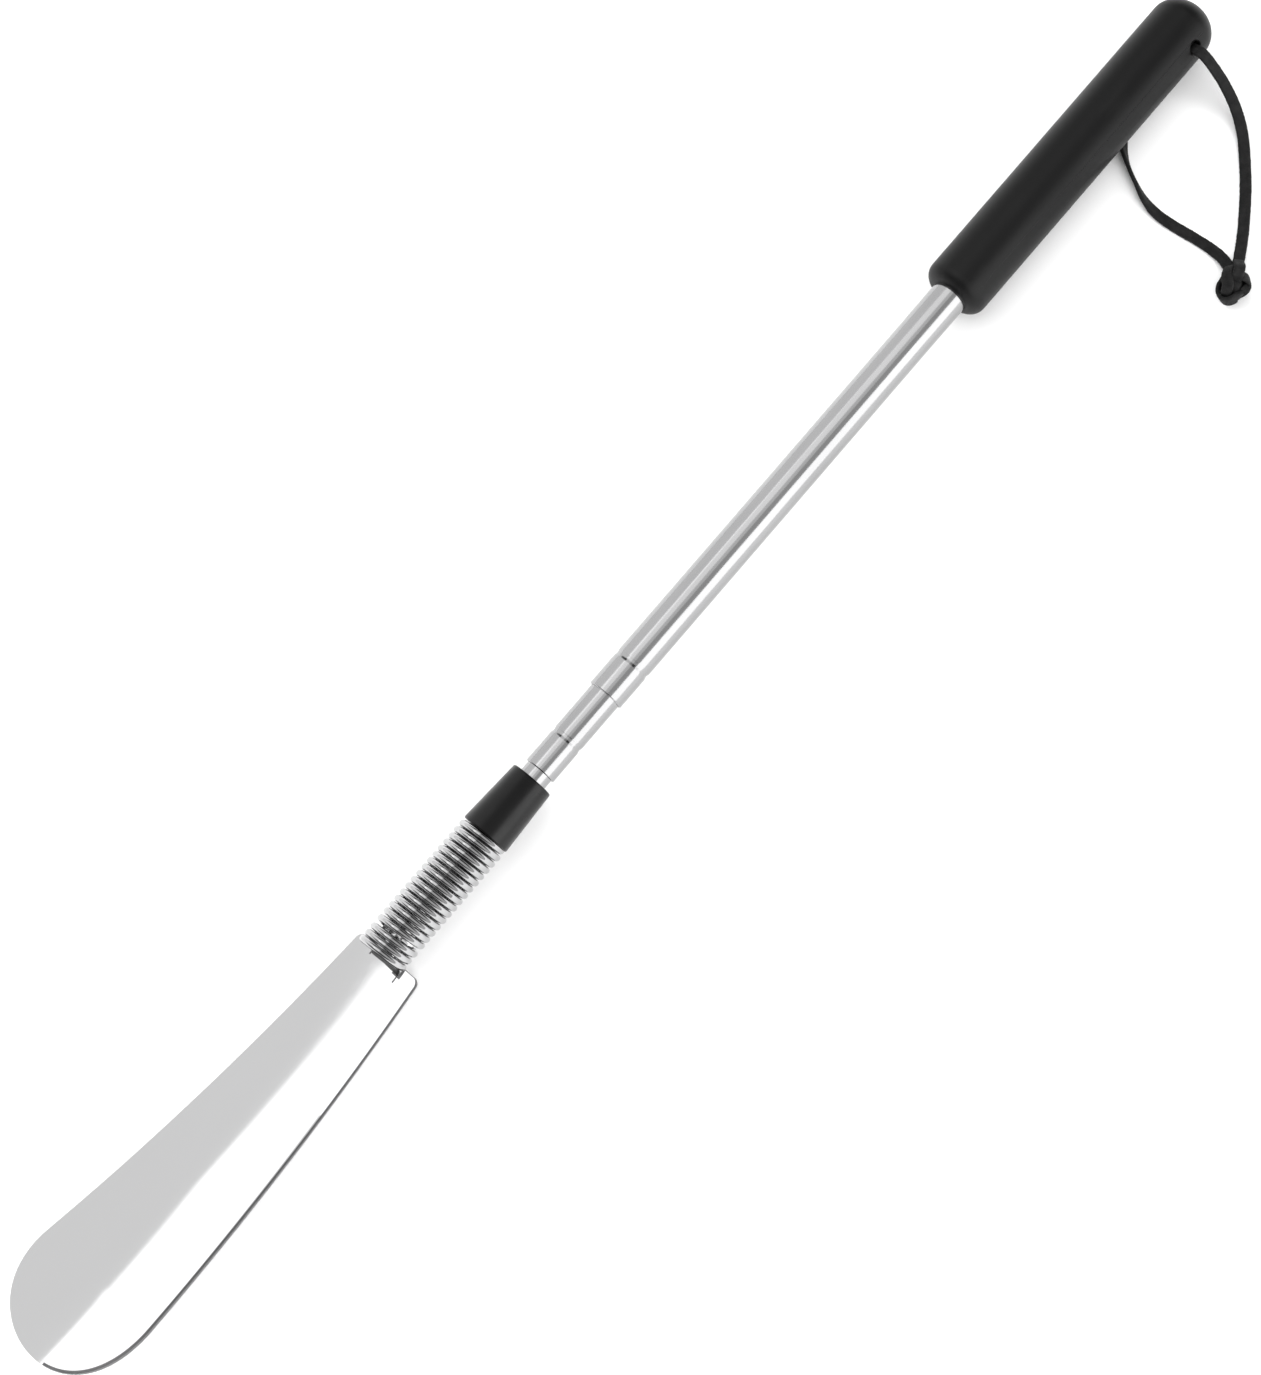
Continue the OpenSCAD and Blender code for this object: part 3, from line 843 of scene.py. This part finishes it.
def tongue_rows(columns, root):
    """The tongue: it leaves the notch, rises into the coil and runs on as a gutter."""
    bend_r = NECK_R - TONGUE_INSET
    floor_z = AXIS_Z - bend_r
    rows = []
    stations = [(0, 0)] + [(TONGUE_START + TONGUE_RISE * u, u) for u in np.linspace(0, 1, 13)]
    stations += [(TONGUE_START + TONGUE_RISE + GUTTER_OPENS * u, 1 + u) for u in np.linspace(0.1, 1, 9)]
    stations += [(NOTCH_LEN + TONGUE_BACK - s * MM, 2) for s in (4, 2, 1, 0.4, 0.15, 0)]
    for run, phase in stations:
        s = smooth(phase)
        bend = (1 - s) * blade_bend(root) + s / bend_r
        z = (1 - s) * blade_z(root) + s * floor_z
        half = (TONGUE_HALF - TONGUE_NARROWS * s
                + max(0, phase - 1) * (GUTTER_HALF - TONGUE_HALF + TONGUE_NARROWS))
        x = BLADE_TIP + root + run
        turns = [y / columns[-1] * half * bend for y in columns]
        rows.append([Vector((x, math.sin(turn) / bend, z + (1 - math.cos(turn)) / bend)) for turn in turns])
    rows[0] = [on_blade(root, y) for y in columns]
    return rows


def make_hook():
    """The finger that curls up from the gutter and turns out between two turns of the spring."""
    x = (coil_x(HOOK_TURN - 0.5) + coil_x(HOOK_TURN + 0.5)) / 2

    def polar(r, degrees, dx):
        a = math.radians(degrees)
        return Vector((x + dx, r * math.cos(a), AXIS_Z + r * math.sin(a)))

    def tab_angle(half):
        return math.degrees(half / NECK_R)

    rings = [[polar(NECK_R - HOOK_THICK * v, a, HOOK_WIDTH * u) for u, v in FINGER_SECTION]
             for a in np.linspace(HOOK_ANGLE - tab_angle(TAB_HALF), HOOK_ROOT, 17)]
    finger = sweep("finger", rings)
    rings = [[polar(NECK_R + rise, HOOK_ANGLE + tab_angle(TAB_HALF * small * u), TAB_THICK / 2 * small * v)
              for u, v in TAB_SECTION] for rise, small in TAB_STEPS]
    return join("blade_hook", [finger, sweep("tab", rings)], 40)


blade = make_blade()
hook = make_hook()
for obj in (blade, hook):
    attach(obj, "blade_end")
    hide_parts("blade")


# ---------------------------------------------------------------- materials


class Look:
    """A material with a Principled shader and procedural detail in the object's own space."""

    def __init__(self, name, color, roughness, **sockets):
        self.material = bpy.data.materials.new(name)
        self.material.use_nodes = True
        self.nodes = self.material.node_tree.nodes
        self.links = self.material.node_tree.links
        self.shader = self.nodes["Principled BSDF"]
        self.color = color
        self.set("Base Color", (*color, 1))
        self.set("Roughness", roughness)
        for socket, value in sockets.items():
            self.set(socket.replace("_", " "), value)
        self.place = self.nodes.new("ShaderNodeTexCoord").outputs["Object"]
        self.height = None

    def set(self, socket, value):
        self.shader.inputs[socket].default_value = value

    def noise(self, size, stretch=(1, 1, 1), detail=3, roughness=0.5):
        """Noise whose features are about size wide, and stretched along each axis."""
        mapping = self.nodes.new("ShaderNodeMapping")
        mapping.inputs["Scale"].default_value = [1 / (size * s) for s in stretch]
        texture = self.nodes.new("ShaderNodeTexNoise")
        texture.inputs["Scale"].default_value = 1
        texture.inputs["Detail"].default_value = detail
        texture.inputs["Roughness"].default_value = roughness
        self.links.new(self.place, mapping.inputs["Vector"])
        self.links.new(mapping.outputs["Vector"], texture.inputs["Vector"])
        return texture.outputs["Fac"]

    def between(self, value, low, high, start=0.3, end=0.7):
        """A value passed from one range into another, and held inside it."""
        node = self.nodes.new("ShaderNodeMapRange")
        for socket, number in (("From Min", start), ("From Max", end), ("To Min", low), ("To Max", high)):
            node.inputs[socket].default_value = number
        self.links.new(value, node.inputs["Value"])
        return node.outputs["Result"]

    def feed(self, socket, value):
        """A socket of the shader takes its value from another node."""
        self.links.new(value, self.shader.inputs[socket])

    def tint(self, value, other):
        """The base colour passes towards another colour where the value is high."""
        mix = self.nodes.new("ShaderNodeMix")
        mix.data_type = "RGBA"
        colours = [s for s in mix.inputs if s.type == "RGBA"]
        colours[0].default_value = (*self.color, 1)
        colours[1].default_value = (*other, 1)
        self.links.new(value, mix.inputs["Factor"])
        self.links.new([s for s in mix.outputs if s.type == "RGBA"][0], self.shader.inputs["Base Color"])

    def bump(self, value, depth):
        """Relief of a given depth in metres, on top of any relief already there."""
        node = self.nodes.new("ShaderNodeBump")
        node.inputs["Distance"].default_value = depth
        node.inputs["Strength"].default_value = 1
        self.links.new(value, node.inputs["Height"])
        if self.height is not None:
            self.links.new(self.height, node.inputs["Normal"])
        self.height = node.outputs["Normal"]
        self.links.new(self.height, self.shader.inputs["Normal"])
        return self

    def give(self, *objects):
        """Adds the material to each object; on a CAD object it takes the place of what is there."""
        for obj in objects:
            if "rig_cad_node" in obj:
                obj.data.materials.clear()
            obj.data.materials.append(self.material)


def matt_grip():
    look = Look("matt_black_grip", (0.004, 0.004, 0.0041), 0.44, Specular_IOR_Level=0.2)
    scuff = look.between(look.noise(5 * MM, (3, 1, 1), 6), 0, 1, 0.62, 0.78)
    look.tint(scuff, (0.007, 0.007, 0.007))
    look.feed("Roughness", look.between(look.noise(9 * MM, (2, 1, 1), 4), 0.42, 0.5))
    return look.bump(look.noise(0.22 * MM, detail=2), 0.012 * MM)


def drawn_steel():
    look = Look("drawn_steel", (0.37, 0.37, 0.373), 0.15, Metallic=1.0)
    lines = look.noise(0.16 * MM, (60, 1, 1), 4, 0.7)
    look.feed("Roughness", look.between(lines, 0.11, 0.2))
    look.tint(look.between(look.noise(7 * MM, (5, 1, 1), 3), 0, 1), (0.335, 0.335, 0.338))
    return look.bump(lines, 0.0012 * MM)


def polished_blade():
    look = Look("polished_blade", (0.90, 0.90, 0.905), 0.10, Metallic=1.0)
    lines = look.noise(0.35 * MM, (70, 1, 1), 5, 0.7)
    look.feed("Roughness", look.between(lines, 0.07, 0.13))
    look.tint(look.between(look.noise(16 * MM, (3, 1, 1), 3), 0, 1), (0.885, 0.885, 0.89))
    return look.bump(lines, 0.0004 * MM)


# dark steel for the blade's cut walls, a real dull finish, and painted shade on the ground strip along its -Y
# edges
def cut_steel_and_painted_shade():
    look = Look("cut_steel_and_painted_shade", (0.2, 0.2, 0.203), 0.4, Metallic=1.0)
    look.feed("Roughness", look.between(look.noise(0.5 * MM, detail=4), 0.32, 0.46))
    return look.bump(look.noise(0.2 * MM, (4, 4, 0.5), 3), 0.006 * MM)


def chromed_wire():
    look = Look("chromed_wire", (0.47, 0.47, 0.475), 0.08, Metallic=1.0)
    look.feed("Roughness", look.between(look.noise(1.5 * MM, (1, 1, 1), 4), 0.06, 0.13))
    look.tint(look.between(look.noise(3 * MM, detail=4), 0, 1, 0.5, 0.8), (0.4, 0.4, 0.4))
    return look.bump(look.noise(0.4 * MM, detail=3), 0.002 * MM)


def moulded_ferrule():
    look = Look("moulded_ferrule", (0.0022, 0.0022, 0.0023), 0.26, Specular_IOR_Level=0.3)
    look.feed("Roughness", look.between(look.noise(4 * MM, detail=4), 0.26, 0.36))
    look.tint(look.between(look.noise(2 * MM, (3, 1, 1), 5), 0, 1, 0.6, 0.8), (0.005, 0.005, 0.005))
    return look.bump(look.noise(0.3 * MM, detail=2), 0.006 * MM)


def black_leather():
    look = Look("black_leather", (0.009, 0.009, 0.0092), 0.7, Specular_IOR_Level=0.22)
    grain = look.noise(0.5 * MM, (1, 1, 1), 5, 0.65)
    look.tint(look.between(look.noise(1.6 * MM, detail=5), 0, 1, 0.35, 0.75), (0.02, 0.0197, 0.0195))
    look.feed("Roughness", look.between(grain, 0.62, 0.82))
    return look.bump(grain, 0.16 * MM)


def spring_brass():
    look = Look("spring_brass", (0.72, 0.52, 0.22), 0.3, Metallic=1.0)
    look.feed("Roughness", look.between(look.noise(0.8 * MM, detail=4), 0.24, 0.42))
    look.tint(look.between(look.noise(2 * MM, detail=4), 0, 1), (0.6, 0.42, 0.18))
    return look.bump(look.noise(0.3 * MM, detail=3), 0.004 * MM)


def pale_acetal():
    look = Look("pale_acetal", (0.72, 0.70, 0.64), 0.42, Subsurface_Weight=0.08)
    look.set("Subsurface Radius", (0.001, 0.0008, 0.0006))
    look.feed("Roughness", look.between(look.noise(2 * MM, detail=4), 0.36, 0.5))
    look.tint(look.between(look.noise(3 * MM, detail=4), 0, 1), (0.66, 0.63, 0.56))
    return look.bump(look.noise(0.3 * MM, detail=3), 0.005 * MM)


def dark_plug():
    look = Look("dark_plug", (0.025, 0.025, 0.027), 0.5)
    look.feed("Roughness", look.between(look.noise(2 * MM, detail=4), 0.42, 0.6))
    look.tint(look.between(look.noise(2 * MM, detail=4), 0, 1), (0.034, 0.034, 0.036))
    return look.bump(look.noise(0.3 * MM, detail=3), 0.008 * MM)


def pale_floor():
    look = Look("pale_floor", (0.88, 0.88, 0.88), 0.9, Specular_IOR_Level=0.05)
    look.tint(look.between(look.noise(60 * MM, detail=2), 0, 1), (0.87, 0.87, 0.87))
    return look


nodes = frame["nodes"]
matt_grip().give(grip)
drawn_steel().give(outer_tube, mid_tube, inner_tube)
polished_blade().give(blade, hook)
cut_steel_and_painted_shade().give(blade, hook)
chromed_wire().give(coil_front, coil_back)
moulded_ferrule().give(ferrule)
black_leather().give(strand_front, strand_rear, knot)
spring_brass().give(nodes["mid_clip"], nodes["inner_clip"])
pale_acetal().give(nodes["mid_bush"], nodes["inner_bush"])
dark_plug().give(nodes["tube_plug"])


# ---------------------------------------------------------------- studio

FLOOR_HALF = 8.0
# softboxes that light only the floor: name, middle, size and brightness
FLOOR_SOFTBOXES = (("floor_softbox", (0, 0, 2.2), (3, 3), 1.6),
                   ("front_fill", (0, -1.25, 0.9), (2.4, 1), 3.1),
                   ("back_fill", (0, 1.25, 0.9), (2.4, 1), 2.6))
# softboxes that light only pieces of the object hang round its axis, at this distance
PANEL_DISTANCE = 1.5
PANEL_X = 0.2
PANEL_LEN = 2.6

# the sky is grey on the -Y side and white on the +Y side, with a straight edge between them
SKY_GREY = 0.672
SKY_WHITE = 1.3
SKY_EDGE = math.radians(17.6)
SKY_EDGE_SOFT = math.radians(0.4)
# the edge leans over towards +X by this much per unit of direction, so it stays straight in the curved blade
SKY_LEAN = math.radians(47)
SKY_LEAN_FROM = 0.04
# two dark panels hang above the ends of the object: how much they take away, where they start and
# stop along X, and where they start and stop in height, all by the direction towards them
SKY_END_DARK = 0.9
SKY_ENDS = (0.37, 0.5)
SKY_END_FOOT = (0.2, 0.3)


def make_floor():
    """The table, far larger than the view."""
    corners = [(-FLOOR_HALF, -FLOOR_HALF, 0), (FLOOR_HALF, -FLOOR_HALF, 0), (FLOOR_HALF, FLOOR_HALF, 0),
               (-FLOOR_HALF, FLOOR_HALF, 0)]
    floor = new_object("floor", corners, [(0, 1, 2, 3)])
    pale_floor().give(floor)
    return floor


def make_sky():
    """Studio surroundings: a grey side and a white side that run along the object, and two dark panels."""
    world = bpy.data.worlds.new("studio")
    world.use_nodes = True
    bpy.context.scene.world = world
    nodes, links = world.node_tree.nodes, world.node_tree.links

    def math_node(operation, first, second=0.0):
        node = nodes.new("ShaderNodeMath")
        node.operation = operation
        for socket, value in zip(node.inputs, (first, second)):
            if isinstance(value, (int, float)):
                socket.default_value = value
            else:
                links.new(value, socket)
        return node.outputs["Value"]

    def passed(value, start, end, low, high):
        node = nodes.new("ShaderNodeMapRange")
        for socket, number in (("From Min", start), ("From Max", end), ("To Min", low), ("To Max", high)):
            node.inputs[socket].default_value = number
        links.new(value, node.inputs["Value"])
        return node.outputs["Result"]

    split = nodes.new("ShaderNodeSeparateXYZ")
    links.new(nodes.new("ShaderNodeTexCoord").outputs["Generated"], split.inputs["Vector"])
    along, across, up = (split.outputs[name] for name in "XYZ")
    lean = math_node("MULTIPLY", math_node("MAXIMUM", math_node("SUBTRACT", along, SKY_LEAN_FROM)), SKY_LEAN)
    turn = math_node("SUBTRACT", math_node("ARCTAN2", across, up), lean)
    wall = passed(turn, SKY_EDGE - SKY_EDGE_SOFT / 2, SKY_EDGE + SKY_EDGE_SOFT / 2, SKY_GREY, SKY_WHITE)
    ends = math_node("MULTIPLY", passed(math_node("ABSOLUTE", along), *SKY_ENDS, 0, SKY_END_DARK),
                     passed(up, *SKY_END_FOOT, 0, 1))
    light = math_node("MULTIPLY", wall, math_node("SUBTRACT", 1.0, ends))
    links.new(light, nodes["Background"].inputs["Strength"])
    nodes["Background"].inputs["Color"].default_value = (1, 1, 1, 1)


def make_softbox(name, centre, facing, size, brightness, receivers):
    """A rectangular area light, with its first side along X, that faces a point and lights the receivers."""
    data = bpy.data.lights.new(name, "AREA")
    data.shape = "RECTANGLE"
    data.size, data.size_y = size
    data.energy = brightness * math.pi * size[0] * size[1]
    light = bpy.data.objects.new(name, data)
    bpy.context.scene.collection.objects.link(light)
    centre, facing = Vector(centre), Vector(facing)
    back = (centre - facing).normalized()
    along = Vector((1, 0, 0))
    along = (along - back * along.dot(back)).normalized()
    light.matrix_world = (Matrix.Translation(centre)
                          @ Matrix((along, back.cross(along), back)).transposed().to_4x4())
    lit = bpy.data.collections.new(name + "_receivers")
    for obj in receivers:
        lit.objects.link(obj)
    light.light_linking.receiver_collection = lit


def overhead(name, start, end, brightness, receivers):
    """A long softbox above the object that covers the angles from start to end, in degrees from the
    zenith towards the +Y side."""
    middle = math.radians((start + end) / 2)
    width = 2 * PANEL_DISTANCE * math.tan(math.radians(end - start) / 2)
    centre = (PANEL_X, PANEL_DISTANCE * math.sin(middle), AXIS_Z + PANEL_DISTANCE * math.cos(middle))
    make_softbox(name, centre, (PANEL_X, 0, AXIS_Z), (PANEL_LEN, width), brightness, receivers)


def make_studio():
    floor = make_floor()
    make_sky()
    for name, centre, size, brightness in FLOOR_SOFTBOXES:
        make_softbox(name, centre, (0, 0, 0), size, brightness, [floor])
    tubes = [outer_tube, mid_tube, inner_tube, grip]
    lace = [strand_front, strand_rear, knot]
    overhead("top_softbox", -3, 30, 0.7, tubes + lace + [coil_front, coil_back])
    overhead("wide_softbox", -21, 30, 0.45, tubes + lace)
    overhead("side_softbox", -92, -48, 2.2, tubes + lace + [ferrule])


make_studio()

scene = bpy.context.scene
scene.view_settings.view_transform = "Standard"
scene.view_settings.look = "None"
